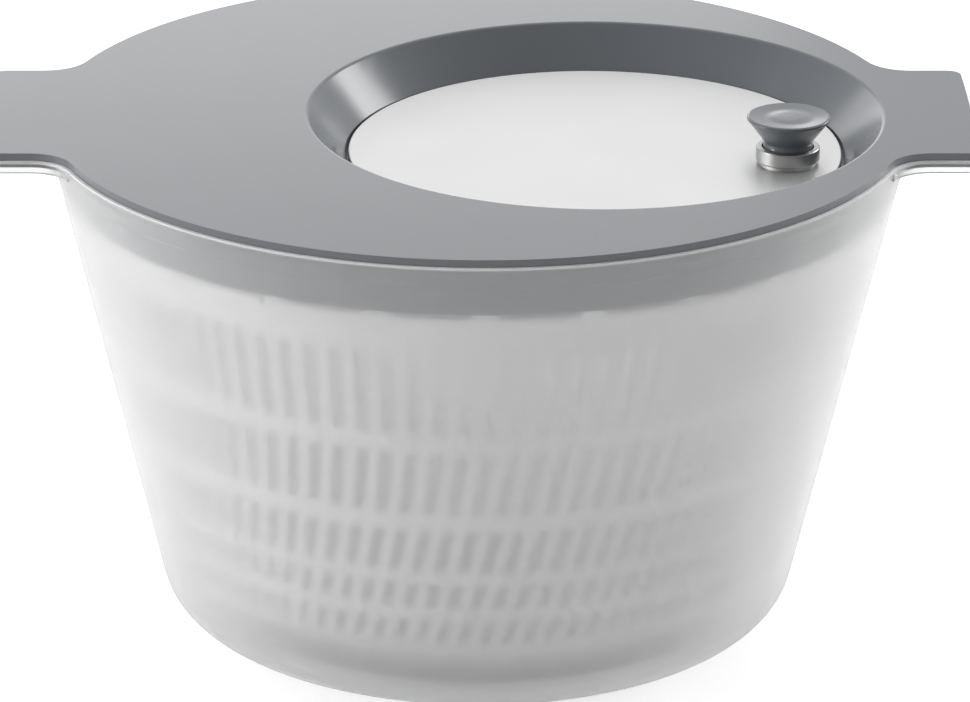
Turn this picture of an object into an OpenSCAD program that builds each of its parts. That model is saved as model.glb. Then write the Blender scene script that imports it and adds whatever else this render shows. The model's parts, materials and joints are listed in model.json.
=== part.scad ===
// Crank salad spinner: a frosted bowl, a slotted basket that turns on a pin in it, and a geared lid.
// +Z is up. The origin is on the surface it stands on, on the bowl's axis. The carrying wings lie along X.
// The crank disc sits off that axis, in a recess of the lid. Its ring gear turns the pinion on the axis.

/* [Bowl] */
// Outer radius of the bowl at its rim
bowl_rim_r = 126; // [122:0.5:130]
// Outer radius at which wall and underside would meet if the corner were sharp
bowl_base_r = 91; // [87:0.5:95]
// Height from the underside to the rim
bowl_h = 150.4; // [146:0.2:160]
// Thickness of the bowl's wall
bowl_wall = 2; // [1.6:0.1:2.4]
// Thickness of the bowl's floor
bowl_floor = 2.6; // [2.4:0.1:3.2]
// Outside radius of the rounded corner at the foot of the wall
bowl_corner_r = 17; // [14:0.5:19]
// Height of the thicker band under the rim
rim_band_h = 6.8; // [5:0.1:9]
// How far that band stands out from the wall below it
rim_band_step = 0.3; // [0.2:0.05:0.5]
// Radius of the boss that holds the pivot pin
boss_r = 8; // [7:0.1:8.5]
// Height of that boss above the floor
boss_h = 13.5; // [12:0.1:14]
// Radius of the steel pivot pin
pivot_r = 3; // [2.5:0.1:3.5]

/* [Carrying wings] */
// Reach of the bowl's wings from the axis
wing_reach = 144.2; // [140:0.2:150]
// Half the width of the bowl's wings
wing_half_w = 38.2; // [34:0.2:44]
// Radius of the wings' outer corners
wing_corner_r = 5; // [4:0.1:8]
// Radius of the hollow blend between wing and rim
wing_blend_r = 12; // [8:0.5:16]
// Thickness of the bowl's wing plate
wing_t = 2; // [1.6:0.1:2.6]
// Height of the turned-down edge of the bowl's wing
wing_lip_h = 3.6; // [3:0.1:6]
// Thickness of that turned-down edge
wing_lip_t = 1.8; // [1.4:0.1:2.4]

/* [Non-slip ring] */
// Middle radius of the ring under the bowl
foot_r = 68; // [62:0.5:70]
// Width of the ring
foot_w = 7; // [5:0.2:9]
// How far the ring stands below the bowl
foot_stand = 0.6; // [0.4:0.1:1.2]
// How deep the ring is let into the bowl
foot_inset = 1.2; // [1:0.1:1.4]

/* [Basket] */
// Free space between the bowl's inner wall and the basket's outer wall
basket_gap = 6.5; // [6:0.1:8]
// Thickness of the basket's wall
basket_wall = 1.8; // [1.5:0.1:2.2]
// Thickness of the basket's floor
basket_floor = 1.8; // [1.6:0.1:2.4]
// Height of the basket's underside above the bowl's floor
basket_lift = 10.8; // [10.4:0.1:12]
// Outside radius of the basket's bottom corner
basket_corner_r = 14; // [12:0.5:16]
// Width of the flange round the basket's rim
basket_flange_w = 3.5; // [3.3:0.1:4]
// Thickness of that flange
basket_flange_t = 2; // [1.6:0.1:2.6]
// Number of slots in each row round the wall
slot_count = 90; // [60:2:90]
// Share of the pitch that a slot takes
slot_share = 0.52; // [0.4:0.02:0.58]
// How far a rib sweeps round from the top of the first row to the bottom of the last, in degrees
rib_sweep = 9.5; // [4:0.5:14]
// Number of notches in the flange that the drive lugs drop into
notch_count = 24; // [18:6:30]

/* [Lid] */
// How far the lid's edge stands back from the bowl's
lid_reveal = 1; // [0.6:0.1:1.6]
// Thickness of the lid's plate
lid_t = 2.2; // [1.8:0.1:3]
// Radius of the round recess where it meets the top
recess_r = 83.7; // [82:0.1:84.5]
// Thickness of the recess wall
recess_wall = 1.8; // [1.5:0.1:2.2]
// Rounding of the recess edge
recess_edge_r = 1.6; // [1:0.1:2]
// Height of the skirt inside the bowl
skirt_h = 15.5; // [12:0.1:16]
// Thickness of the skirt
skirt_t = 1.8; // [1.4:0.1:2.2]
// Gap between skirt and bowl
skirt_gap = 0.6; // [0.4:0.1:1]
// Thickness of the stiffening ribs under the plate
lid_rib_t = 1.4; // [1:0.1:2]

/* [Crank] */
// Radius of the steel-faced crank disc
disc_r = 71.9; // [71:0.1:72.4]
// Depth of its top below the lid's top
disc_drop = 11.6; // [11:0.1:12.4]
// Gap round the disc
disc_gap = 1; // [0.6:0.1:1.2]
// Thickness of the steel facing
facing_t = 0.6; // [0.5:0.1:0.8]
// Thickness of the carrier moulding under the facing
carrier_t = 2.2; // [2:0.1:2.6]
// Distance from the disc's centre to the knob
crank_throw = 56.9; // [54:0.1:58.5]
// Where the knob stands round the disc at rest, in degrees
crank_angle = -13; // [-30:0.1:30]
// Radius of the crank's axle
axle_r = 4; // [3.6:0.1:4.4]

/* [Knob] */
// Radius of the knob at its upper edge
knob_r = 12.05; // [11:0.05:13]
// Radius of the waist
knob_waist_r = 6.85; // [6.6:0.05:7.1]
// Radius of the neck, in the collar
knob_neck_r = 7.2; // [7:0.05:7.3]
// Height of the knob's top above the facing
knob_top_h = 14.6; // [13.8:0.1:18]
// Radius of the collar
collar_r = 9.25; // [9:0.05:10]
// Height of the collar's rim above the facing
collar_h = 5.5; // [5.2:0.1:5.8]
// Radius of the knob's pin
knob_pin_r = 2.8; // [2.4:0.1:3]

/* [Gears] */
// Gear module
gear_m = 1.5; // [1.4:0.05:1.5]
// Teeth of the ring gear on the crank
ring_teeth = 60; // [58:1:62]
// Teeth of the pinion on the bowl's axis
pinion_teeth = 15; // [14:1:16]
// Thinning of each tooth at the pitch circle
backlash = 0.3; // [0.2:0.05:0.5]
// Face width of the gears
gear_w = 7.6; // [7:0.1:8]

/* [Drive dish] */
// Thickness of the dish
dish_t = 1.6; // [1.4:0.1:1.8]
// Number of lugs under its edge
lug_count = 6; // [3:3:6]
// Number of vents through the dish
vent_count = 12; // [8:1:16]

/* [Clearances] */
// Radial clearance of a shaft in its bush
running = 0.05; // [0.03:0.01:0.08]
// Radial clearance between pieces that are pressed or bonded together
seated = 0.02; // [0.01:0.01:0.04]
// Gap between faces that turn past each other
turning = 0.3; // [0.2:0.05:0.4]

/* [Hidden] */
$fn = 96;
// Overlap of shapes that are joined, and run of a cutter past the face it cuts
eps = 0.01;
cut = 1;
// Play along the axis between pieces that turn on each other
end_play = 0.1;

frosted = [0.87, 0.88, 0.89, 0.6];
basket_white = [0.93, 0.94, 0.94];
lid_grey = [0.55, 0.56, 0.57];
collar_steel = [0.76, 0.76, 0.75];
acetal = [0.95, 0.95, 0.92];
steel = [0.8, 0.8, 0.79];
rubber_grey = [0.45, 0.46, 0.47];

// --- Heights and radii of the bowl ---
bowl_z = foot_stand;
rim_z = bowl_z + bowl_h;
floor_z = bowl_z + bowl_floor;
slope = (bowl_rim_r - bowl_base_r) / bowl_h;
slant = sqrt(1 + slope * slope);
function bowl_out(z) = bowl_base_r + (z - bowl_z) * slope;
function bowl_in(z) = bowl_out(z) - rim_band_step - bowl_wall * slant;
boss_top_z = floor_z + boss_h;
pin_seat_t = 1.2;
pin_foot_z = bowl_z + pin_seat_t;
wing_root = 4;
blend_lap = 6;

// --- Heights of the lid and the crank, from the top down ---
lid_top_z = rim_z + lid_t;
lid_r = bowl_rim_r - lid_reveal;
disc_z = lid_top_z - disc_drop;
carrier_top_z = disc_z - facing_t;
carrier_z = carrier_top_z - carrier_t;
ledge_gap = 0.8;
ledge_t = 1.8;
ledge_z = carrier_z - ledge_gap - ledge_t;
ledge_edge_r = 1;
well_drop = 0.4;
well_r = disc_r + disc_gap;
skirt_z = rim_z - skirt_h;
lid_rib_h = 8;
lid_rib_angles = [110:20:250];
spigot_t = 1.4;
spigot_h = 2;
screw_boss_r = 3.2;
thread_end_gap = 0.5;

// --- Gears ---
crank_x = (ring_teeth - pinion_teeth) * gear_m / 2;
ring_pitch_r = ring_teeth * gear_m / 2;
pinion_pitch_r = pinion_teeth * gear_m / 2;
pressure = 20;
ring_addendum = 0.7 * gear_m;
addendum = gear_m;
dedendum = 1.25 * gear_m;
ring_body = 4;
ring_out_r = ring_pitch_r + dedendum + ring_body;
gear_gap = 1.2;
ring_overhang = 0.2;
ring_skin = 1;
pinion_top_z = carrier_z - gear_gap;
pinion_z = pinion_top_z - gear_w;

// --- Housing under the recess ---
housing_wall = 2;
housing_floor = 2.2;
ring_play = 1.2;
housing_r = ring_out_r + ring_play;
housing_out_r = housing_r + housing_wall;
bush_flange_t = 0.8;
bush_flange_r = 9;
bush_wall = 2.5;
boss_rise = 0.6;
housing_floor_z = pinion_z - turning - bush_flange_t - boss_rise;
housing_z = housing_floor_z - housing_floor;
boss_face_z = housing_floor_z + boss_rise;
bush_boss_w = 2;
axle_boss_w = 3;
pressed_in = 0.2;
shaft_r = 5;
bush_r = shaft_r + bush_wall;
ear_angles = [75, 135, 225, 285];
ear_r = 4.2;
ear_overlap = 1;
ear_root = 0.5;
ear_pitch_r = housing_out_r + ear_r - ear_overlap;
ear_t = 2;
ear_z = housing_z + 1;
cross_depth = 0.9;
// Reach and half width of a screw's cross, as shares of its head's radius
cross_reach = 0.6;
cross_half_w = 0.12;
screw_r = 1.5;
screw_head_r = 2.8;
screw_head_t = 1.6;
screw_fit = 0.15;

// --- Crank disc: a counterbore in the carrier holds the washer and the screw head under the facing ---
facing_fit = 0.1;
head_fit = 0.1;
facing_edge_r = 0.54;
carrier_r = disc_r - facing_t - facing_fit;
facing_skirt = 2;
counterbore_t = 1.5;
washer_gap = 0.6;
counterbore_w = 4;
counterbore_r = axle_r + counterbore_w;
axle_top_z = carrier_top_z - counterbore_t + end_play;
axle_flange_w = 2;
axle_flange_r = axle_r + axle_flange_w;
crank_washer_t = 0.5;
crank_washer_r = counterbore_r - washer_gap;
crank_head_t = 0.8;
crank_head_web = 0.2;
crank_head_r = 3.5;
crank_thread = 7;
hub_z_gap = bush_flange_t + turning;
crank_hub_z = boss_face_z + hub_z_gap;
crank_bush_r = axle_r + bush_wall;
hub_skin = 3;
crank_hub_r = crank_bush_r + hub_skin;
web_count = 8;
web_t = 1.6;
web_h = 1;
web_gap = 3;
gear_screw_count = 6;
gear_screw_r = 1;
gear_screw_head = 1;
gear_screw_reach = 5;
gear_screw_pitch_r = ring_pitch_r + dedendum + ring_body / 2;
function gear_screw_angle(i) = (i + 0.5) * 360 / gear_screw_count;

// --- Drive dish, hung on the pinion's shaft ---
dish_gap = 1.2;
dish_top_z = min(housing_z, ear_z - screw_head_t) - dish_gap;
dish_z = dish_top_z - dish_t;
dish_side_gap = 4;
dish_floor_r = crank_x + housing_out_r + dish_side_gap;
flange_gap = 1;
dish_flange_top_z = ledge_z - flange_gap;
dish_flange_z = dish_flange_top_z - dish_t;
hub_r = 11;
hub_drop = 5.2;
hub_z = dish_z - hub_drop;
hub_rise = 0.4;
hub_top_z = dish_top_z + hub_rise;
hex_r = 4.7;
hex_gap = 0.08;
hub_end_t = 1.6;
hex_end_gap = 0.2;
washer_t = 0.8;
washer_r = 6.5;
drive_head_t = 2;
drive_head_r = 3.8;
drive_screw_r = 2;
vent_w = 5;
vent_in_r = 40;
vent_rim = 15;
dish_floor_edge_r = 3;
dish_rise_edge_r = 1;
dish_rim_edge_r = 0.5;
dish_rib_count = 6;
dish_rib_end = 13;
dish_rib_end_r = dish_floor_r - dish_rib_end;
dish_rib_t = 1.6;
dish_rib_h = 3;

// --- Basket ---
basket_rim_z = dish_flange_z - turning;
basket_z = floor_z + basket_lift;
function basket_out(z) = bowl_in(z) - basket_gap;
function basket_in(z) = basket_out(z) - basket_wall * slant;
basket_flange_r = basket_out(basket_rim_z) + basket_flange_w;
lug_w = 6;
lug_gap = 0.5;
lug_root = 1.1;
lug_t = basket_flange_w - lug_root;
lug_drop = 2.8;
flange_reveal = 0.6;
rise_shift = 1;
dish_flange_r = basket_flange_r - flange_reveal;
dish_rise_r = (dish_floor_r + basket_in(basket_rim_z)) / 2 + rise_shift;
// Rows of slots: height of each row's top and bottom, as shares of the slotted height
solid_band_h = 14.1;
solid_foot_h = 9.1;
slot_top_z = basket_rim_z - solid_band_h;
slot_bottom_z = basket_z + solid_foot_h;
slot_rows = [[1, 0.73], [0.665, 0.457], [0.395, 0.25], [0.21, 0.125], [0.083, 0]];
function slot_z(share) = slot_bottom_z + (slot_top_z - slot_bottom_z) * share;
function sweep(share) = -rib_sweep * pow(1 - share, 2);
slot_run = 4;
floor_slot_w = 3;
floor_slot_count = 36;
floor_slot_gap = 6;
hub_margin = 12;

// --- Pivot ---
bearing_r = 6.5;
bearing_flange_r = 8.6;
bearing_flange_t = 1.5;
bearing_cap_t = 2.5;
boss_gap = 0.5;
pin_reach = 10.5;
bearing_z = boss_top_z + boss_gap;
pin_top_z = boss_top_z + pin_reach;
bearing_top_z = pin_top_z + end_play + bearing_cap_t;
hub_wall = 2.4;
hub_edge_r = 1.5;
hub_open_w = 2;
hub_foot_w = 7;
hub_open_r = boss_r + hub_open_w;
hub_foot_r = boss_r + hub_foot_w;
basket_hub_top_z = bearing_top_z + end_play + basket_floor;

// --- Knob ---
knob_x = crank_x + crank_throw * cos(crank_angle);
knob_y = crank_throw * sin(crank_angle);
collar_foot_h = 1.3;
collar_foot_step = 1.1;
collar_foot_r = collar_r - collar_foot_step;
collar_edge_r = 0.5;
collar_lip_r = 0.3;
collar_floor_t = 1.1;
collar_floor_z = disc_z + collar_foot_h + collar_floor_t;
knob_foot_gap = 0.4;
knob_z = collar_floor_z + knob_foot_gap;
waist_rise = 1.3;
waist_z = disc_z + collar_h + waist_rise;
knob_top_z = disc_z + knob_top_h;
waist_step = 1;
waist_r = 1.5;
knob_chamfer = 0.5;
knob_soft_r = 0.4;
knob_edge_r = 0.3;
knob_edge_h = 1.3;
knob_dip = 0.55;
knob_ring_w = 5.25;
dome_foot_r = knob_r - knob_ring_w;
dome_top_r = 3.8;
dome_soft_r = 12;
dome_sink = 0.2;
dome_crown = 0.06;
pin_head_r = 5;
pin_head_t = 1.1;
pin_snap_w = 0.5;
pin_snap_r = knob_pin_r + pin_snap_w;
pin_snap_h = 2;
pin_lead = 0.9;
knob_roof = 4.2;
knob_pin_top_z = knob_top_z - knob_roof;
snap_play = 0.15;

// ---------------------------------------------------------------- helpers

// Corner p of an outline, rounded with radius r, between its neighbours a and b, in n steps
function unit(v) = v / norm(v);
function corner(a, p, b, r, n = 10) =
    r <= 0 ? [[p[0], p[1]]] :
    let (u = unit([a[0] - p[0], a[1] - p[1]]), v = unit([b[0] - p[0], b[1] - p[1]]),
         half = acos(u * v) / 2, mid = unit(u + v),
         c = [p[0], p[1]] + mid * r / sin(half),
         s = [p[0], p[1]] + u * r / tan(half) - c,
         e = [p[0], p[1]] + v * r / tan(half) - c,
         turn = 180 - 2 * half, way = s[0] * e[1] - s[1] * e[0] > 0 ? 1 : -1)
    [for (i = [0:n]) let (t = way * turn * i / n)
        c + [s[0] * cos(t) - s[1] * sin(t), s[0] * sin(t) + s[1] * cos(t)]];

// Outline through points [x, y, rounding radius]
function rounded(points) = [
    for (i = [0:len(points) - 1])
        each corner(points[(i + len(points) - 1) % len(points)], points[i], points[(i + 1) % len(points)],
                    len(points[i]) > 2 ? points[i][2] : 0)];

module turned(points) rotate_extrude() polygon(rounded(points));

module at_crank() translate([crank_x, 0, 0]) children();

module at_knob() translate([knob_x, knob_y, 0]) children();

module ring(r_in, r_out, z, h) translate([0, 0, z]) difference() {
    cylinder(r = r_out, h = h);
    translate([0, 0, -eps]) cylinder(r = r_in, h = h + 2 * eps);
}

module rod(r, z, top) translate([0, 0, z]) cylinder(r = r, h = top - z);

// Plan of one pair of wings without the round rim: inset moves the whole edge inwards
module wings_plan(inset) {
    rim = bowl_rim_r - inset;
    reach = wing_reach - inset;
    half_w = wing_half_w - inset;
    corner_r = wing_corner_r - inset;
    blend_r = wing_blend_r + inset;
    blend_x = sqrt(pow(rim + blend_r, 2) - pow(half_w + blend_r, 2));
    touch = [blend_x, half_w + blend_r] * rim / (rim + blend_r);
    root_x = bowl_base_r + wing_root;
    for (side = [0, 1]) mirror([side, 0]) {
        translate([root_x, -half_w]) square([reach - corner_r - root_x, 2 * half_w]);
        translate([root_x, corner_r - half_w]) square([reach - root_x, 2 * (half_w - corner_r)]);
        for (way = [-1, 1]) {
            translate([reach - corner_r, way * (half_w - corner_r)]) circle(r = corner_r);
            mirror([0, way < 0 ? 1 : 0]) difference() {
                polygon([[blend_x, half_w], [blend_x, half_w + blend_r], touch,
                         [touch[0] - blend_lap, half_w - blend_lap], [blend_x, half_w - blend_lap]]);
                translate([blend_x, half_w + blend_r]) circle(r = blend_r);
            }
        }
    }
}

// ---------------------------------------------------------------- bowl

module bowl() color(frosted) {
    in_corner_r = bowl_corner_r - bowl_wall;
    band_z = rim_z - rim_band_h;
    difference() {
        union() {
            turned([[0, bowl_z], [bowl_base_r - rim_band_step, bowl_z, bowl_corner_r],
                    [bowl_out(band_z) - rim_band_step, band_z],
                    [bowl_out(band_z + rim_band_step), band_z + rim_band_step],
                    [bowl_rim_r, rim_z], [bowl_in(rim_z), rim_z],
                    [bowl_in(floor_z), floor_z, in_corner_r], [0, floor_z]]);
            bowl_wings();
            rod(boss_r, floor_z - eps, boss_top_z);
        }
        rod(pivot_r + seated, pin_foot_z, boss_top_z + eps);
        ring(foot_r - foot_w / 2 - seated, foot_r + foot_w / 2 + seated, bowl_z - eps, foot_inset + eps);
    }
}

// Two wings with a turned-down edge, cut back to the inside of the wall
module bowl_wings() difference() {
    translate([0, 0, rim_z - wing_lip_h]) linear_extrude(wing_lip_h) wings_plan(0);
    translate([0, 0, rim_z - wing_lip_h - eps]) linear_extrude(wing_lip_h - wing_t + eps)
        wings_plan(wing_lip_t);
    translate([0, 0, rim_z - 2 * wing_lip_h])
        cylinder(r1 = bowl_in(rim_z - 2 * wing_lip_h) + eps, r2 = bowl_in(rim_z + wing_lip_h) + eps,
                 h = 3 * wing_lip_h);
}

module non_slip_ring() color(rubber_grey)
    ring(foot_r - foot_w / 2, foot_r + foot_w / 2, 0, foot_stand + foot_inset - seated);

module pivot_pin() color(steel) {
    tip = pivot_r / 3;
    rod(pivot_r, pin_foot_z + seated, pin_top_z - tip);
    translate([0, 0, pin_top_z - tip]) cylinder(r1 = pivot_r, r2 = pivot_r - tip, h = tip);
}

// ---------------------------------------------------------------- basket

// Flanged cup that sits on the pivot pin and carries the basket
module pivot_bearing() color(acetal) difference() {
    union() {
        rod(bearing_flange_r, bearing_z, bearing_z + bearing_flange_t);
        rod(bearing_r, bearing_z, bearing_top_z);
    }
    rod(pivot_r + running, bearing_z - eps, pin_top_z + end_play);
}

module basket() color(basket_white) difference() {
    union() {
        basket_shell();
        basket_hub();
    }
    basket_slots();
    basket_floor_slots();
    rim_notches();
}

// Notches in the flange, open outwards, that the drive lugs drop into
module rim_notches() {
    notch_in_r = dish_flange_r - lug_t - lug_gap;
    for (i = [0:notch_count - 1]) rotate(i * 360 / notch_count)
        translate([notch_in_r, -lug_w / 2 - lug_gap, basket_rim_z - basket_flange_t - cut])
            cube([basket_flange_w + lug_gap, lug_w + 2 * lug_gap, basket_flange_t + 2 * cut]);
}

module basket_shell() {
    turned([[hub_open_r, basket_z], [basket_out(basket_z), basket_z, basket_corner_r],
            [basket_out(basket_rim_z - basket_flange_t), basket_rim_z - basket_flange_t],
            [basket_flange_r, basket_rim_z - basket_flange_t], [basket_flange_r, basket_rim_z],
            [basket_in(basket_rim_z), basket_rim_z],
            [basket_in(basket_z + basket_floor), basket_z + basket_floor, basket_corner_r - basket_wall],
            [hub_open_r, basket_z + basket_floor]]);
}

// Raised hub in the middle of the floor, over the bearing
module basket_hub() {
    step_z = bearing_z + bearing_flange_t + end_play;
    turned([[hub_open_r, basket_z], [hub_open_r, step_z], [bearing_r + running, step_z],
            [bearing_r + running, bearing_top_z + end_play], [0, bearing_top_z + end_play],
            [0, basket_hub_top_z], [bearing_r + hub_wall, basket_hub_top_z, hub_edge_r],
            [hub_foot_r, basket_z + basket_floor], [hub_foot_r, basket_z]]);
}

// Five rows of slots that sweep round the wall as they go down
module basket_slots() {
    pitch = 360 / slot_count;
    for (row = slot_rows) {
        top = slot_z(row[0]);
        bottom = slot_z(row[1]);
        middle = (row[0] + row[1]) / 2;
        half_top = basket_out(top) * tan(pitch * slot_share / 2);
        half_bottom = basket_out(bottom) * tan(pitch * slot_share / 2);
        shift_top = basket_out(top) * tan(sweep(row[0]) - sweep(middle));
        shift_bottom = basket_out(bottom) * tan(sweep(row[1]) - sweep(middle));
        for (i = [0:slot_count - 1]) rotate([90, 0, 90 + i * pitch + sweep(middle)])
            translate([0, 0, basket_in(bottom) - slot_run])
                linear_extrude(basket_out(top) - basket_in(bottom) + 2 * slot_run)
                polygon([[shift_top - half_top, top], [shift_top + half_top, top],
                         [shift_bottom + half_bottom, bottom], [shift_bottom - half_bottom, bottom]]);
    }
}

module basket_floor_slots() {
    outer = basket_in(basket_z) - basket_corner_r;
    inner = boss_r + hub_margin;
    middle = (inner + outer) / 2;
    for (i = [0:floor_slot_count - 1]) rotate(i * 360 / floor_slot_count) {
        floor_slot(middle + floor_slot_gap / 2, outer);
        if (i % 2 == 0) floor_slot(inner, middle - floor_slot_gap / 2);
    }
}

module floor_slot(from, to) translate([from, -floor_slot_w / 2, basket_z - cut])
    cube([to - from, floor_slot_w, basket_floor + 2 * cut]);

// ---------------------------------------------------------------- lid

module lid_cover() color(lid_grey) {
    difference() {
        union() {
            translate([0, 0, rim_z]) linear_extrude(lid_t) {
                circle(r = lid_r, $fn = 180);
                wings_plan(lid_reveal);
            }
            lid_skirt();
            lid_ribs();
        }
        at_crank() rod(recess_r + recess_edge_r + recess_wall / 2, ledge_z - cut, lid_top_z + cut);
    }
    at_crank() recess_cup();
    housing_bosses();
}

function skirt_out(z) = bowl_in(z) - skirt_gap;
module lid_skirt() turned([
    [skirt_out(rim_z), rim_z + eps], [skirt_out(skirt_z), skirt_z],
    [skirt_out(skirt_z) - skirt_t, skirt_z], [skirt_out(rim_z) - skirt_t, rim_z + eps]]);

// Ribs under the wide side of the plate, from the recess to the skirt
module lid_ribs() {
    skirt_mid_r = skirt_out(rim_z - lid_rib_h) - skirt_t / 2;
    for (a = lid_rib_angles) rotate(a) translate([crank_x, -lid_rib_t / 2, rim_z - lid_rib_h + eps])
        cube([skirt_mid_r - crank_x, lid_rib_t, lid_rib_h]);
}

// Cone, well and ledge of the recess, with a rounded upper edge
module recess_cup() turned([
    [recess_r + recess_edge_r + recess_wall, lid_top_z], [recess_r, lid_top_z, recess_edge_r],
    [well_r, disc_z - well_drop], [well_r, ledge_z + ledge_t], [housing_r, ledge_z + ledge_t],
    [housing_r, ledge_z], [well_r + recess_wall, ledge_z, ledge_edge_r],
    [well_r + recess_wall, disc_z - 2 * well_drop], [recess_r + recess_edge_r + recess_wall, rim_z]]);

// Bosses for the housing's screws, and the rib that centres the housing
module housing_bosses() at_crank() {
    ring(housing_out_r + 2 * seated, housing_out_r + spigot_t, ledge_z - spigot_h, spigot_h + eps);
    for (a = ear_angles) rotate(a) translate([ear_pitch_r, 0, 0]) difference() {
        rod(screw_boss_r, ear_z + ear_t, ledge_z + eps);
        rod(screw_r + seated, ear_z + ear_t - eps, ledge_z - 2 * thread_end_gap);
        translate([-ear_pitch_r, 0, 0]) rod(housing_out_r + 2 * seated, ear_z, ledge_z - spigot_h + eps);
    }
}

module gear_housing() color(lid_grey) difference() {
    union() {
        at_crank() difference() {
            rod(housing_out_r, housing_z, ledge_z);
            rod(housing_r, housing_floor_z, ledge_z + cut);
        }
        at_crank() for (a = ear_angles) rotate(a) difference() {
            union() {
                translate([ear_pitch_r, 0, 0]) rod(ear_r, ear_z, ear_z + ear_t);
                translate([housing_r + ear_root, -ear_r, ear_z])
                    cube([ear_pitch_r - housing_r - ear_root, 2 * ear_r, ear_t]);
            }
            translate([ear_pitch_r, 0, 0]) rod(screw_r + screw_fit, ear_z - cut, ear_z + ear_t + cut);
        }
        at_crank() rod(axle_r + axle_boss_w, housing_floor_z - eps, boss_face_z);
        rod(bush_r + bush_boss_w, housing_floor_z - eps, boss_face_z);
    }
    rod(bush_r + seated, housing_z - cut, boss_face_z + cut);
    at_crank() rod(axle_r + seated, housing_z - cut, boss_face_z + cut);
}

module housing_screws() color(steel) at_crank()
    for (a = ear_angles) rotate(a) translate([ear_pitch_r, 0, 0]) difference() {
        union() {
            rod(screw_head_r, ear_z - screw_head_t, ear_z);
            rod(screw_r, ear_z - eps, ledge_z - 3 * thread_end_gap);
        }
        cross_recess(ear_z - screw_head_t, screw_head_r);
    }

// Cross in a screw head of radius r whose outer face is at z, facing down
module cross_recess(z, r, depth = cross_depth) for (a = [0, 90]) rotate(a)
    translate([-cross_reach * r, -cross_half_w * r, z - eps])
        cube([2 * cross_reach * r, 2 * cross_half_w * r, depth]);

module shaft_bush() color(acetal) difference() {
    union() {
        rod(bush_r, housing_z + pressed_in, boss_face_z);
        rod(bush_flange_r, boss_face_z, boss_face_z + bush_flange_t);
    }
    rod(shaft_r + running, housing_z - cut, pinion_z + cut);
}

// Steel stud that the crank disc turns on, with a foot flange over the housing's boss
module crank_axle() color(steel) at_crank() difference() {
    union() {
        rod(axle_r, housing_z + pressed_in, axle_top_z);
        rod(axle_flange_r, boss_face_z, boss_face_z + bush_flange_t);
    }
    rod(screw_r + seated, axle_top_z - crank_thread - cut, axle_top_z + cut);
}

module crank_washer() color(steel) at_crank()
    ring(screw_r + end_play, crank_washer_r, axle_top_z, crank_washer_t);

module crank_screw() color(steel) at_crank() {
    head_z = axle_top_z + crank_washer_t;
    difference() {
        union() {
            rod(crank_head_r, head_z, head_z + crank_head_t);
            rod(screw_r, axle_top_z - crank_thread, head_z + eps);
        }
        translate([0, 0, head_z + crank_head_t]) mirror([0, 0, 1])
            cross_recess(0, crank_head_r, crank_head_t - crank_head_web);
    }
}

// ---------------------------------------------------------------- crank

module crank_carrier() color(lid_grey) difference() {
    at_crank() {
        rod(carrier_r, carrier_z, carrier_top_z);
        rod(crank_hub_r, crank_hub_z, carrier_z + eps);
        for (i = [0:web_count - 1]) rotate(i * 360 / web_count)
            translate([crank_hub_r - eps, -web_t / 2, carrier_z - web_h])
                cube([ring_pitch_r - ring_addendum - web_gap - crank_hub_r, web_t, web_h + eps]);
    }
    at_crank() {
        rod(crank_bush_r + seated, housing_floor_z, carrier_top_z + cut);
        rod(counterbore_r, carrier_top_z - counterbore_t, carrier_top_z + cut);
        at_gear_screws() {
            rod(gear_screw_r + head_fit, carrier_z - cut, carrier_top_z + cut);
            translate([0, 0, carrier_top_z - gear_screw_head])
                cylinder(r1 = gear_screw_r + head_fit, r2 = 2 * gear_screw_r + head_fit,
                         h = gear_screw_head + eps);
        }
    }
    at_knob() {
        rod(pin_head_r + head_fit, carrier_z - cut, carrier_z + pin_head_t + head_fit);
        rod(knob_pin_r + seated, carrier_z - cut, carrier_top_z + cut);
    }
}

module at_gear_screws() for (i = [0:gear_screw_count - 1])
    rotate(gear_screw_angle(i)) translate([gear_screw_pitch_r, 0, 0]) children();

// Outline of a gear: half of one tooth's angle at radius r, on an involute
function involute(a) = tan(a) * 180 / PI - a;
function half_tooth(teeth, pitch_r, r, thinning) =
    90 / teeth - thinning / pitch_r * 90 / PI + involute(pressure)
    - involute(r > pitch_r * cos(pressure) ? acos(pitch_r * cos(pressure) / r) : 0);
function polar(r, a) = [r * cos(a), r * sin(a)];
flank_steps = 5;
function gear_points(teeth, root_r, tip_r, thinning) =
    let (pitch_r = teeth * gear_m / 2)
    [for (i = [0:teeth - 1]) each concat(
        [for (k = [0:flank_steps]) let (r = root_r + (tip_r - root_r) * k / flank_steps)
            polar(r, i * 360 / teeth - half_tooth(teeth, pitch_r, r, thinning))],
        [for (k = [flank_steps:-1:0]) let (r = root_r + (tip_r - root_r) * k / flank_steps)
            polar(r, i * 360 / teeth + half_tooth(teeth, pitch_r, r, thinning))])];

module ring_gear() color(acetal) at_crank() {
    ring_z = pinion_z - ring_overhang;
    difference() {
        rod(ring_out_r, ring_z, carrier_z);
        translate([0, 0, ring_z - cut]) linear_extrude(carrier_z - ring_z + 2 * cut)
            rotate(180 / ring_teeth) polygon(gear_points(ring_teeth, ring_pitch_r - ring_addendum,
                                                         ring_pitch_r + dedendum, -backlash));
        at_gear_screws() rod(gear_screw_r + seated, ring_z + ring_skin, carrier_z + cut);
    }
}

module gear_screws() color(steel) at_crank() at_gear_screws() {
    rod(gear_screw_r, carrier_z - gear_screw_reach, carrier_top_z - gear_screw_head);
    translate([0, 0, carrier_top_z - gear_screw_head])
        cylinder(r1 = gear_screw_r, r2 = 2 * gear_screw_r, h = gear_screw_head - seated);
}

module crank_bush() color(acetal) at_crank()
    ring(axle_r + running, crank_bush_r, crank_hub_z, axle_top_z - end_play - crank_hub_z);

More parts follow.
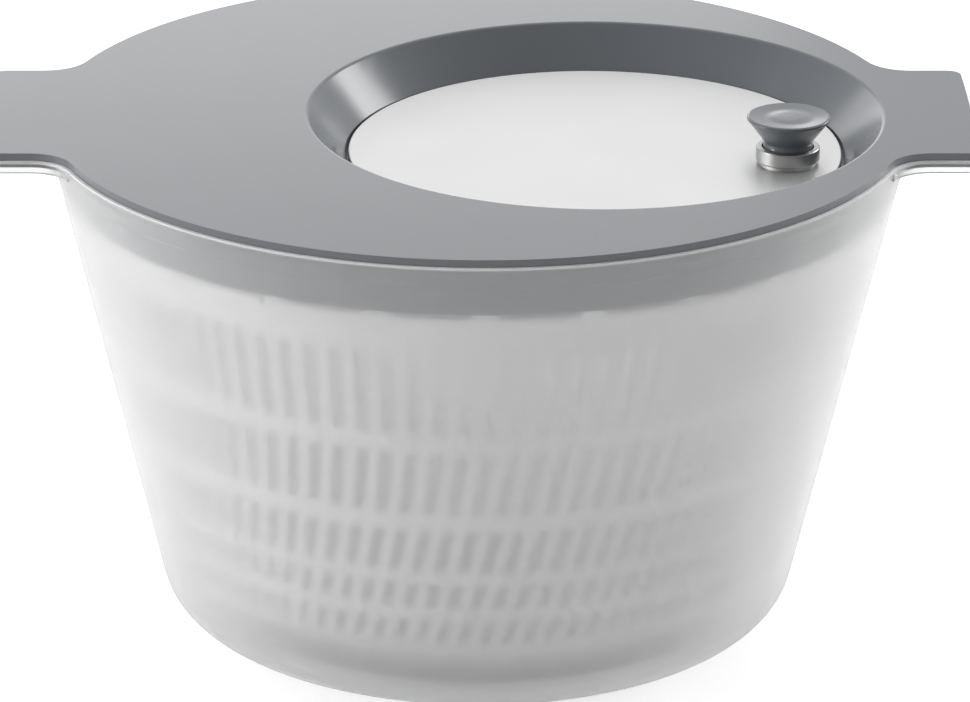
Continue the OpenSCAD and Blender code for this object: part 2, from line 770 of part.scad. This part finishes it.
// Steel cap whose edge is turned down over the carrier
module steel_facing() color(steel) difference() {
    at_crank() turned([
        [0, disc_z], [disc_r, disc_z, facing_edge_r], [disc_r, disc_z - facing_skirt],
        [disc_r - facing_t, disc_z - facing_skirt], [disc_r - facing_t, carrier_top_z + eps],
        [0, carrier_top_z + eps]]);
    at_knob() rod(knob_pin_r + seated, carrier_top_z - cut, disc_z + cut);
}

// ---------------------------------------------------------------- knob

// Base ring of the knob: a narrow foot and a cup round the knob's neck
module knob_collar() color(collar_steel) at_knob() turned([
    [knob_pin_r + seated, disc_z + seated], [collar_foot_r, disc_z + seated],
    [collar_foot_r, disc_z + collar_foot_h], [collar_r, disc_z + collar_foot_h, collar_edge_r],
    [collar_r, disc_z + collar_h, collar_edge_r], [knob_neck_r + turning, disc_z + collar_h, collar_lip_r],
    [knob_neck_r + turning, collar_floor_z], [knob_pin_r + seated, collar_floor_z]]);

// Pin with a head under the carrier and a snap head in the knob
module knob_pin() color(steel) at_knob() {
    rod(pin_head_r, carrier_z, carrier_z + pin_head_t);
    rod(knob_pin_r, carrier_z + pin_head_t - eps, knob_pin_top_z - pin_snap_h);
    translate([0, 0, knob_pin_top_z - pin_snap_h])
        cylinder(r1 = pin_snap_r, r2 = pin_snap_r - pin_lead, h = pin_snap_h);
}

// Flared knob with a rounded edge band and a shallow dip round a low dome for the finger
module knob() color(lid_grey) at_knob() difference() {
    edge_z = knob_top_z - knob_edge_h;
    dome_z = knob_top_z - dome_sink;
    turned([[0, knob_z], [knob_neck_r - knob_chamfer, knob_z], [knob_neck_r, knob_z + knob_chamfer],
            [knob_neck_r, waist_z - waist_step, knob_soft_r], [knob_waist_r, waist_z, waist_r],
            [knob_r - knob_soft_r, edge_z, knob_chamfer], [knob_r, edge_z + knob_soft_r, knob_edge_r],
            [knob_r, knob_top_z - knob_edge_r, knob_edge_r],
            [knob_r - 2 * knob_edge_r, knob_top_z, knob_soft_r],
            [dome_foot_r, knob_top_z - knob_dip, dome_soft_r], [dome_top_r, dome_z, dome_soft_r],
            [0, dome_z + dome_crown]]);
    rod(knob_pin_r + running, knob_z - cut, knob_pin_top_z);
    rod(pin_snap_r + 2 * running, knob_pin_top_z - pin_snap_h - snap_play, knob_pin_top_z + end_play);
}

// ---------------------------------------------------------------- drive

// Pinion, shaft and hexagonal end in one piece
module drive_pinion() color(acetal) {
    hex_z = hub_z + hub_end_t + hex_end_gap;
    difference() {
        union() {
            translate([0, 0, pinion_z]) linear_extrude(gear_w)
                polygon(gear_points(pinion_teeth, pinion_pitch_r - dedendum, pinion_pitch_r + addendum,
                                    backlash));
            rod(shaft_r, hub_top_z, pinion_z + eps);
            translate([0, 0, hex_z]) hexagon(hex_r, hub_top_z + hex_end_gap - hex_z);
        }
        rod(drive_screw_r + seated, hub_z, pinion_z + ring_skin);
    }
}

module hexagon(r, h) rotate(30) cylinder(r = r, h = h, $fn = 6);

// Pan that lies over the basket's rim and turns it, with lugs that drop into the rim's notches
module drive_dish() color(basket_white) difference() {
    union() {
        turned([[0, dish_z], [dish_floor_r, dish_z, dish_floor_edge_r],
                [dish_rise_r + dish_t, dish_flange_z, dish_rise_edge_r],
                [dish_flange_r, dish_flange_z], [dish_flange_r, dish_flange_top_z, dish_rim_edge_r],
                [dish_rise_r, dish_flange_top_z, dish_rise_edge_r],
                [dish_floor_r - dish_t, dish_top_z, dish_floor_edge_r], [0, dish_top_z]]);
        rod(hub_r, hub_z, hub_top_z);
        for (i = [0:lug_count - 1]) rotate(i * 360 / lug_count)
            translate([dish_flange_r - lug_t, -lug_w / 2, dish_flange_z - lug_drop])
                cube([lug_t, lug_w, lug_drop + eps]);
        for (i = [0:dish_rib_count - 1]) rotate((i + 0.5) * 360 / dish_rib_count)
            translate([hub_r - cut, -dish_rib_t / 2, dish_z - dish_rib_h])
                cube([dish_rib_end_r + cut - hub_r, dish_rib_t, dish_rib_h + eps]);
    }
    rod(drive_screw_r + screw_fit, hub_z - cut, hub_top_z + cut);
    translate([0, 0, hub_z + hub_end_t]) hexagon(hex_r + hex_gap, hub_drop + dish_t + hub_rise);
    for (i = [0:vent_count - 1]) rotate((i + 0.5) * 360 / vent_count) vent();
}

// Slot with round ends through the dish's floor
module vent() {
    out_r = dish_floor_r - vent_rim;
    translate([vent_in_r, -vent_w / 2, dish_z - cut]) cube([out_r - vent_in_r, vent_w, dish_t + 2 * cut]);
    for (x = [vent_in_r, out_r]) translate([x, 0, 0]) rod(vent_w / 2, dish_z - cut, dish_top_z + cut);
}

module drive_washer() color(steel)
    ring(drive_screw_r + head_fit, washer_r, hub_z - washer_t, washer_t);

module drive_screw() color(steel) difference() {
    union() {
        rod(drive_head_r, hub_z - washer_t - drive_head_t, hub_z - washer_t);
        rod(drive_screw_r, hub_z - washer_t - eps, pinion_z);
    }
    cross_recess(hub_z - washer_t - drive_head_t, drive_head_r);
}

bowl();
non_slip_ring();
pivot_pin();
pivot_bearing();
basket();
lid_cover();
gear_housing();
housing_screws();
shaft_bush();
crank_axle();
crank_screw();
crank_washer();
crank_carrier();
ring_gear();
gear_screws();
crank_bush();
steel_facing();
knob_collar();
knob_pin();
knob();
drive_pinion();
drive_dish();
drive_washer();
drive_screw();
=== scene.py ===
"""Looks of a crank salad spinner: frosted bowl, slotted basket, grey lid and a steel-faced crank disc."""

import json
import math

import bpy
from mathutils import Matrix, Quaternion, Vector

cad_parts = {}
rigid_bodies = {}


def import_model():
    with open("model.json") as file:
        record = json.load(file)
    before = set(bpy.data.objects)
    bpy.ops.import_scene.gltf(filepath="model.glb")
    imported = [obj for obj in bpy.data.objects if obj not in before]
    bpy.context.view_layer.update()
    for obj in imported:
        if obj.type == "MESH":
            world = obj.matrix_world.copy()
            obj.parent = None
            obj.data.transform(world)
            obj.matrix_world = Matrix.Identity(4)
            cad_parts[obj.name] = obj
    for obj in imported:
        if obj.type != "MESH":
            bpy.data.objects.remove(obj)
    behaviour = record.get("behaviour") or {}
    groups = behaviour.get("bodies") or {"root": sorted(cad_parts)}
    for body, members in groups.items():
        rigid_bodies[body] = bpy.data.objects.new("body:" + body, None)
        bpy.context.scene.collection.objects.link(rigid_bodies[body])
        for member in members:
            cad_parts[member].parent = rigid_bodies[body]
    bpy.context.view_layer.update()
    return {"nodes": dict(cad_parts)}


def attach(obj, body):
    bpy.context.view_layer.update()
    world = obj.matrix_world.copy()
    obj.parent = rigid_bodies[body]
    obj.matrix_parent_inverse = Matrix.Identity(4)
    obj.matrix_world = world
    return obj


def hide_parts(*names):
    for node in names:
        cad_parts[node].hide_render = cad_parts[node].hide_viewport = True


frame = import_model()
nodes = frame["nodes"]

MM = 0.001

# Camera: a long lens 1.8 m off, looking a little down at the lid, and held a hair off level
CAMERA_AT = (-0.02333, -1.64586, 0.71591)
CAMERA_AIM = (0.00202, 0, 0.07841)
CAMERA_ROLL = math.radians(0.28)
CAMERA_LENS = 221.9
CAMERA_SENSOR = 36.0

# The bowl lets most light through; the top band of its rim lets much less and reads as a pale line: a
# painted highlight
RIM_TOP = max(corner.co.z for corner in nodes["bowl"].data.vertices)
RIM_EDGE_Z = RIM_TOP - 0.5 * MM
RIM_FADE = 0.4 * MM
WALL_CLEAR = 0.87
RIM_HIGHLIGHT_CLEAR = 0.25

# Moulded edges are rounded where they are sharper than EDGE_ANGLE; before that, stray corners are merged
EDGE_ROUND = 0.35 * MM
EDGE_STEPS = 2
EDGE_ANGLE = math.radians(40)
SMOOTH_ANGLE = math.radians(32)
FLAT_ANGLE = math.radians(0.3)
MERGE_GAP = 0.002 * MM

# Floor: its size, how far it lies below the object's base, and the glow that takes it to white
FLOOR_SIZE = 40
FLOOR_DROP = 0.2 * MM
FLOOR_GLOW = 0.5

# Sky: the side that each soft light comes from, and its strength there
SKY_LIGHTS = (
    ((0, 0.9, 0.4359), 0.98),
    ((0, 0, 1), 0.38),
    ((0, -1, 0), 0.15),
)

# Lamps: name, place, the point it faces, width, height and watts
LAMPS = (
    ("lamp_left", (-1.3, -0.05, 0.8), (0, 0, 0.1), 0.8, 0.8, 6),
    ("lamp_low_left", (-1.45, -0.35, 0.35), (0, 0, 0.1), 0.5, 0.5, 5),
    ("lamp_right", (1.2, 0.75, 0.6), (0, 0, 0.1), 0.7, 0.7, 10),
    ("lamp_back", (-0.55, 1.8, 0.47), (0, 0, 0.15), 1.6, 0.66, 3.3),
)


# ---------------------------------------------------------------- materials

def linear(text):
    """Colour written as sRGB hex, as linear RGBA."""
    parts = [int(text[i:i + 2], 16) / 255 for i in (1, 3, 5)]
    return tuple(c / 12.92 if c <= 0.04045 else ((c + 0.055) / 1.055) ** 2.4 for c in parts) + (1.0,)


def add(tree, kind, values=(), links=(), **settings):
    """Adds a node: settings are its own, values and links go to its inputs by name or number."""
    made = tree.nodes.new(kind)
    for name, value in settings.items():
        setattr(made, name, value)
    for key, value in dict(values).items():
        made.inputs[key].default_value = value
    for key, socket in dict(links).items():
        tree.links.new(socket, made.inputs[key])
    return made


def start(name, sockets):
    """A material of that name with one Principled shader, whose uniform numbers are set on its sockets."""
    made = bpy.data.materials.new(name)
    made.use_nodes = True
    tree = made.node_tree
    tree.nodes.clear()
    shader = add(tree, "ShaderNodeBsdfPrincipled", values=sockets)
    add(tree, "ShaderNodeOutputMaterial", links={"Surface": shader.outputs["BSDF"]})
    place = add(tree, "ShaderNodeTexCoord")
    return made, tree, shader, place.outputs["Object"]


def surface(tree, shader, colours, roughness, relief):
    """Gives a shader its colours, roughness and relief. Each ends with the 0 to 1 pattern that leads it.
    Colours and roughness start with their two ends, the relief with its depth in mm and its strength."""
    dark, light, pattern = colours
    tint = add(tree, "ShaderNodeMix", values={"A": linear(dark), "B": linear(light)},
               links={"Factor": pattern}, data_type="RGBA")
    tree.links.new(tint.outputs["Result"], shader.inputs["Base Color"])
    low, high, pattern = roughness
    shine = add(tree, "ShaderNodeMapRange", values={"To Min": low, "To Max": high}, links={"Value": pattern})
    tree.links.new(shine.outputs["Result"], shader.inputs["Roughness"])
    depth, strength, pattern = relief
    bumps = add(tree, "ShaderNodeBump", values={"Distance": depth * MM, "Strength": strength},
                links={"Height": pattern})
    tree.links.new(bumps.outputs["Normal"], shader.inputs["Normal"])


def frosted_polypropylene():
    """Natural polypropylene moulded against an etched tool: lets light through and blurs what is behind."""
    made, tree, shader, where = start("Polypropylene_natural_frosted", {"IOR": 1.49})
    # The real etch is finer than 0.1 mm and would not show, so it is drawn at 0.7 mm
    etch = add(tree, "ShaderNodeTexNoise", values={"Scale": 1 / (0.7 * MM), "Detail": 3.0},
               links={"Vector": where})
    flow = add(tree, "ShaderNodeTexNoise", values={"Scale": 1 / (45 * MM)}, links={"Vector": where})
    surface(tree, shader, ("#F1F1F1", "#F8F8F8", flow.outputs["Fac"]), (0.31, 0.33, flow.outputs["Fac"]),
            (0.01, 0.2, etch.outputs["Fac"]))
    # The top band of the rim, picked by height, lets little light through and reads as a pale line under the
    # lid: a painted highlight standing in for the shine of the rim's rounded top
    height = add(tree, "ShaderNodeSeparateXYZ", links={"Vector": where})
    rim_highlight = add(tree, "ShaderNodeMapRange", values={"From Min": RIM_EDGE_Z - RIM_FADE, "From Max": RIM_EDGE_Z,
                                                   "To Min": WALL_CLEAR, "To Max": RIM_HIGHLIGHT_CLEAR},
               links={"Value": height.outputs["Z"]})
    tree.links.new(rim_highlight.outputs["Result"], shader.inputs["Transmission Weight"])
    # Light reaches the basket through the wall, as it does through the real one, and leaves by the same way
    path = add(tree, "ShaderNodeLightPath")
    light = add(tree, "ShaderNodeMath", operation="MAXIMUM",
                links={0: path.outputs["Is Shadow Ray"], 1: path.outputs["Is Diffuse Ray"]})
    passed = add(tree, "ShaderNodeBsdfTransparent", values={"Color": linear("#FFFFFF")})
    both = add(tree, "ShaderNodeMixShader",
               links={0: light.outputs["Value"], 1: shader.outputs["BSDF"], 2: passed.outputs["BSDF"]})
    output = next(n for n in tree.nodes if n.type == "OUTPUT_MATERIAL")
    tree.links.new(both.outputs["Shader"], output.inputs["Surface"])
    return made


def white_polypropylene():
    """White polypropylene, moulded with a satin face: the basket and the dish that turns it."""
    made, tree, shader, where = start("Polypropylene_white_satin", {
        "IOR": 1.49, "Subsurface Weight": 0.15, "Subsurface Scale": 2 * MM,
        "Subsurface Radius": (1, 1, 1)})
    flow = add(tree, "ShaderNodeTexNoise", values={"Scale": 1 / (30 * MM)}, links={"Vector": where})
    # The real texture of the tool is finer and would not show, so it is drawn at 0.9 mm
    texture = add(tree, "ShaderNodeTexNoise", values={"Scale": 1 / (0.9 * MM)}, links={"Vector": where})
    surface(tree, shader, ("#EDEDED", "#F5F5F5", flow.outputs["Fac"]), (0.36, 0.44, flow.outputs["Fac"]),
            (0.015, 0.3, texture.outputs["Fac"]))
    return made


def grey_abs():
    """Cool grey ABS, moulded in a fine spark-eroded tool: satin, with a soft shine at low angles."""
    made, tree, shader, where = start("ABS_cool_grey_satin", {"IOR": 1.54})
    flow = add(tree, "ShaderNodeTexNoise", values={"Scale": 1 / (60 * MM)}, links={"Vector": where})
    # The real grain is near 0.05 mm and would not show, so it is drawn at 0.5 mm
    pits = add(tree, "ShaderNodeTexNoise", values={"Scale": 1 / (0.5 * MM)}, links={"Vector": where})
    surface(tree, shader, ("#686C71", "#6C7075", flow.outputs["Fac"]), (0.17, 0.21, flow.outputs["Fac"]),
            (0.006, 0.25, pits.outputs["Fac"]))
    return made


def brushed_stainless():
    """Stainless sheet with a fine brushed face: bright, and blurred along the brushing."""
    made, tree, shader, where = start("Stainless_steel_brushed", {"Metallic": 1.0, "Anisotropic": 0.85})
    across = add(tree, "ShaderNodeTangent", direction_type="RADIAL", axis="X")
    tree.links.new(across.outputs["Tangent"], shader.inputs["Tangent"])
    # Real scratches are near 0.03 mm wide; they are drawn 0.25 mm wide so that a few show
    along = add(tree, "ShaderNodeMapping", values={"Scale": (0.02, 1, 1)}, links={"Vector": where})
    lines = add(tree, "ShaderNodeTexNoise", links={"Vector": along.outputs["Vector"]},
                values={"Scale": 1 / (0.25 * MM), "Detail": 3.0, "Roughness": 0.6})
    broad = add(tree, "ShaderNodeTexNoise", values={"Scale": 1 / (35 * MM)}, links={"Vector": where})
    both = add(tree, "ShaderNodeMath", values={1: 0.7},
               links={0: lines.outputs["Fac"], 2: broad.outputs["Fac"]}, operation="MULTIPLY_ADD")
    surface(tree, shader, ("#F0F0F0", "#F5F5F5", lines.outputs["Fac"]), (0.42, 0.5, both.outputs["Value"]),
            (0.004, 0.15, lines.outputs["Fac"]))
    return made


def satin_stainless():
    """Stainless ring turned and blasted to a satin: bright towards the light, dark towards the wall."""
    made, tree, shader, where = start("Stainless_steel_satin_turned", {"Metallic": 1.0})
    cloud = add(tree, "ShaderNodeTexNoise", values={"Scale": 1 / (5 * MM)}, links={"Vector": where})
    # The dents of the blasting are finer than 0.1 mm and would not show, so they are drawn at 0.4 mm
    dents = add(tree, "ShaderNodeTexNoise", values={"Scale": 1 / (0.4 * MM)}, links={"Vector": where})
    surface(tree, shader, ("#A5A6A4", "#ADAEAC", cloud.outputs["Fac"]), (0.28, 0.34, cloud.outputs["Fac"]),
            (0.004, 0.2, dents.outputs["Fac"]))
    return made


def turned_steel():
    """Bright turned and plated steel of pins, screws and washers: a sharp shine, broken by fine marks."""
    made, tree, shader, where = start("Steel_turned_zinc_plated", {"Metallic": 1.0})
    # The real marks are near 0.1 mm wide and would not show, so they are drawn at 0.4 mm
    marks = add(tree, "ShaderNodeTexNoise", values={"Scale": 1 / (0.4 * MM), "Detail": 3.0},
                links={"Vector": where})
    surface(tree, shader, ("#B9BBBA", "#CDCECC", marks.outputs["Fac"]), (0.22, 0.34, marks.outputs["Fac"]),
            (0.006, 0.3, marks.outputs["Fac"]))
    return made


def acetal():
    """Natural acetal: milky, slippery plastic of bushes and gears."""
    made, tree, shader, where = start("Acetal_natural_machined", {
        "IOR": 1.48, "Subsurface Weight": 0.1, "Subsurface Scale": 1.5 * MM,
        "Subsurface Radius": (1, 1, 1)})
    cloud = add(tree, "ShaderNodeTexNoise", values={"Scale": 1 / (6 * MM)}, links={"Vector": where})
    # The real cutting marks are near 0.1 mm wide and would not show, so they are drawn at 0.6 mm
    marks = add(tree, "ShaderNodeTexNoise", values={"Scale": 1 / (0.6 * MM)}, links={"Vector": where})
    surface(tree, shader, ("#E9E8E1", "#F2F1EB", cloud.outputs["Fac"]), (0.3, 0.4, cloud.outputs["Fac"]),
            (0.01, 0.3, marks.outputs["Fac"]))
    return made


def soft_rubber():
    """Grey thermoplastic rubber: dull and grippy, with a fine pebbled face."""
    made, tree, shader, where = start("Thermoplastic_rubber_grey_matt", {"IOR": 1.5, "Sheen Weight": 0.1})
    pebble = add(tree, "ShaderNodeTexVoronoi", values={"Scale": 1 / (0.8 * MM)}, links={"Vector": where})
    height = pebble.outputs["Distance"]
    surface(tree, shader, ("#6A6C6E", "#76787A", height), (0.7, 0.85, height), (0.03, 0.4, height))
    return made


# ---------------------------------------------------------------- pieces

def only(piece):
    """Deselects everything and makes one object the active, selected one."""
    bpy.ops.object.select_all(action="DESELECT")
    piece.select_set(True)
    bpy.context.view_layer.objects.active = piece


def soft_edged(name, node, body, material):
    """A copy of a CAD node whose sharp moulded edges are rounded."""
    only(nodes[node])
    bpy.ops.object.duplicate()
    piece = bpy.context.view_layer.objects.active
    bpy.ops.object.parent_clear(type="CLEAR_KEEP_TRANSFORM")
    bpy.ops.object.transform_apply(location=True, rotation=True, scale=True)
    piece.name = name
    piece.data.name = name
    bpy.ops.mesh.customdata_custom_splitnormals_clear()
    bpy.ops.object.mode_set(mode="EDIT")
    bpy.ops.mesh.select_all(action="SELECT")
    bpy.ops.mesh.remove_doubles(threshold=MERGE_GAP)
    bpy.ops.mesh.dissolve_limited(angle_limit=FLAT_ANGLE)
    bpy.ops.object.mode_set(mode="OBJECT")
    bevel = piece.modifiers.new("moulded_edge", "BEVEL")
    bevel.width = EDGE_ROUND
    bevel.segments = EDGE_STEPS
    bevel.limit_method = "ANGLE"
    bevel.angle_limit = EDGE_ANGLE
    bevel.use_clamp_overlap = True
    bevel.miter_outer = "MITER_SHARP"
    bpy.ops.object.modifier_apply(modifier=bevel.name)
    bpy.ops.object.shade_smooth_by_angle(angle=SMOOTH_ANGLE)
    flat = piece.modifiers.new("flat_faces", "WEIGHTED_NORMAL")
    flat.keep_sharp = True
    bpy.ops.object.modifier_apply(modifier=flat.name)
    piece.data.materials.clear()
    piece.data.materials.append(material)
    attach(piece, body)
    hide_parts(node)
    return piece


def dress(material, *names):
    """Gives CAD nodes whose shape is right their finish."""
    for name in names:
        mesh = nodes[name].data
        for i in range(len(mesh.materials)):
            mesh.materials[i] = material


frosted = frosted_polypropylene()
white = white_polypropylene()
lid_grey = grey_abs()
ring_steel = satin_stainless()
facing = brushed_stainless()
steel = turned_steel()
pom = acetal()
rubber = soft_rubber()

bowl = soft_edged("frosted_bowl", "bowl", "bowl", frosted)
lid = soft_edged("lid_top", "lid_cover", "lid", lid_grey)

dress(white, "basket", "drive_dish")
dress(lid_grey, "gear_housing", "crank_carrier", "knob")
dress(ring_steel, "knob_collar")
dress(facing, "steel_facing")
dress(steel, "pivot_pin", "housing_screws", "crank_axle", "crank_screw", "crank_washer", "gear_screws",
      "knob_pin", "drive_washer", "drive_screw")
dress(pom, "pivot_bearing", "shaft_bush", "ring_gear", "crank_bush", "drive_pinion")
dress(rubber, "non_slip_ring")


# ---------------------------------------------------------------- floor, light and camera

def studio_floor():
    """A pale, wide floor that keeps the object's shadow and reads as white to the camera."""
    bpy.ops.mesh.primitive_plane_add(size=FLOOR_SIZE, location=(0, 0, -FLOOR_DROP))
    floor = bpy.context.view_layer.objects.active
    floor.name = "studio_floor"
    made = bpy.data.materials.new("Studio_floor_white")
    made.use_nodes = True
    tree = made.node_tree
    tree.nodes.clear()
    path = add(tree, "ShaderNodeLightPath")
    direct = add(tree, "ShaderNodeMath", operation="MAXIMUM",
                 links={0: path.outputs["Is Camera Ray"], 1: path.outputs["Is Glossy Ray"]})
    seen = add(tree, "ShaderNodeMath", operation="MAXIMUM",
               links={0: direct.outputs["Value"], 1: path.outputs["Is Transmission Ray"]})
    strength = add(tree, "ShaderNodeMath", values={1: FLOOR_GLOW}, links={0: seen.outputs["Value"]},
                   operation="MULTIPLY")
    cloth = add(tree, "ShaderNodeBsdfDiffuse", values={"Color": linear("#E8E8E8")})
    glow = add(tree, "ShaderNodeEmission", values={"Color": linear("#FFFFFF")},
               links={"Strength": strength.outputs["Value"]})
    both = add(tree, "ShaderNodeAddShader", links={0: cloth.outputs["BSDF"], 1: glow.outputs["Emission"]})
    add(tree, "ShaderNodeOutputMaterial", links={"Surface": both.outputs["Shader"]})
    floor.data.materials.append(made)


def studio_sky():
    """Soft light: strong from behind, weaker from above, weak from in front. The camera sees plain white."""
    world = bpy.data.worlds.new("studio")
    bpy.context.scene.world = world
    world.use_nodes = True
    tree = world.node_tree
    tree.nodes.clear()
    way = add(tree, "ShaderNodeTexCoord").outputs["Generated"]
    glow = None
    for side, strength in SKY_LIGHTS:
        toward = add(tree, "ShaderNodeVectorMath", values={1: side}, links={0: way}, operation="DOT_PRODUCT")
        lit = add(tree, "ShaderNodeMath", values={1: 0.0}, links={0: toward.outputs["Value"]},
                  operation="MAXIMUM")
        if glow is None:
            glow = add(tree, "ShaderNodeMath", values={1: strength}, links={0: lit.outputs["Value"]},
                       operation="MULTIPLY")
        else:
            glow = add(tree, "ShaderNodeMath", values={1: strength},
                       links={0: lit.outputs["Value"], 2: glow.outputs["Value"]}, operation="MULTIPLY_ADD")
    path = add(tree, "ShaderNodeLightPath")
    level = add(tree, "ShaderNodeMix", values={"B": 1.0}, data_type="FLOAT",
                links={"Factor": path.outputs["Is Camera Ray"], "A": glow.outputs["Value"]})
    sky = add(tree, "ShaderNodeBackground", values={"Color": linear("#FFFFFF")},
              links={"Strength": level.outputs["Result"]})
    add(tree, "ShaderNodeOutputWorld", links={"Surface": sky.outputs["Background"]})


def soft_box(name, at, aim, width, height, watts):
    """A large soft lamp at one point that faces another."""
    lamp = bpy.data.lights.new(name, "AREA")
    lamp.shape = "RECTANGLE"
    lamp.size = width
    lamp.size_y = height
    lamp.energy = watts
    made = bpy.data.objects.new(name, lamp)
    made.location = at
    made.rotation_euler = (Vector(aim) - Vector(at)).to_track_quat("-Z", "Y").to_euler()
    bpy.context.scene.collection.objects.link(made)


def camera():
    """A long lens in front of the object, a little above its lid."""
    data = bpy.data.cameras.new("camera")
    data.lens = CAMERA_LENS
    data.sensor_width = CAMERA_SENSOR
    data.clip_end = 100
    made = bpy.data.objects.new("camera", data)
    level = (Vector(CAMERA_AIM) - Vector(CAMERA_AT)).to_track_quat("-Z", "Y")
    turn = level @ Quaternion((0, 0, 1), CAMERA_ROLL)
    made.matrix_world = Matrix.LocRotScale(Vector(CAMERA_AT), turn, None)
    bpy.context.scene.collection.objects.link(made)
    bpy.context.scene.camera = made


studio_floor()
studio_sky()
for lamp_values in LAMPS:
    soft_box(*lamp_values)
camera()
bpy.context.scene.view_settings.view_transform = "Standard"
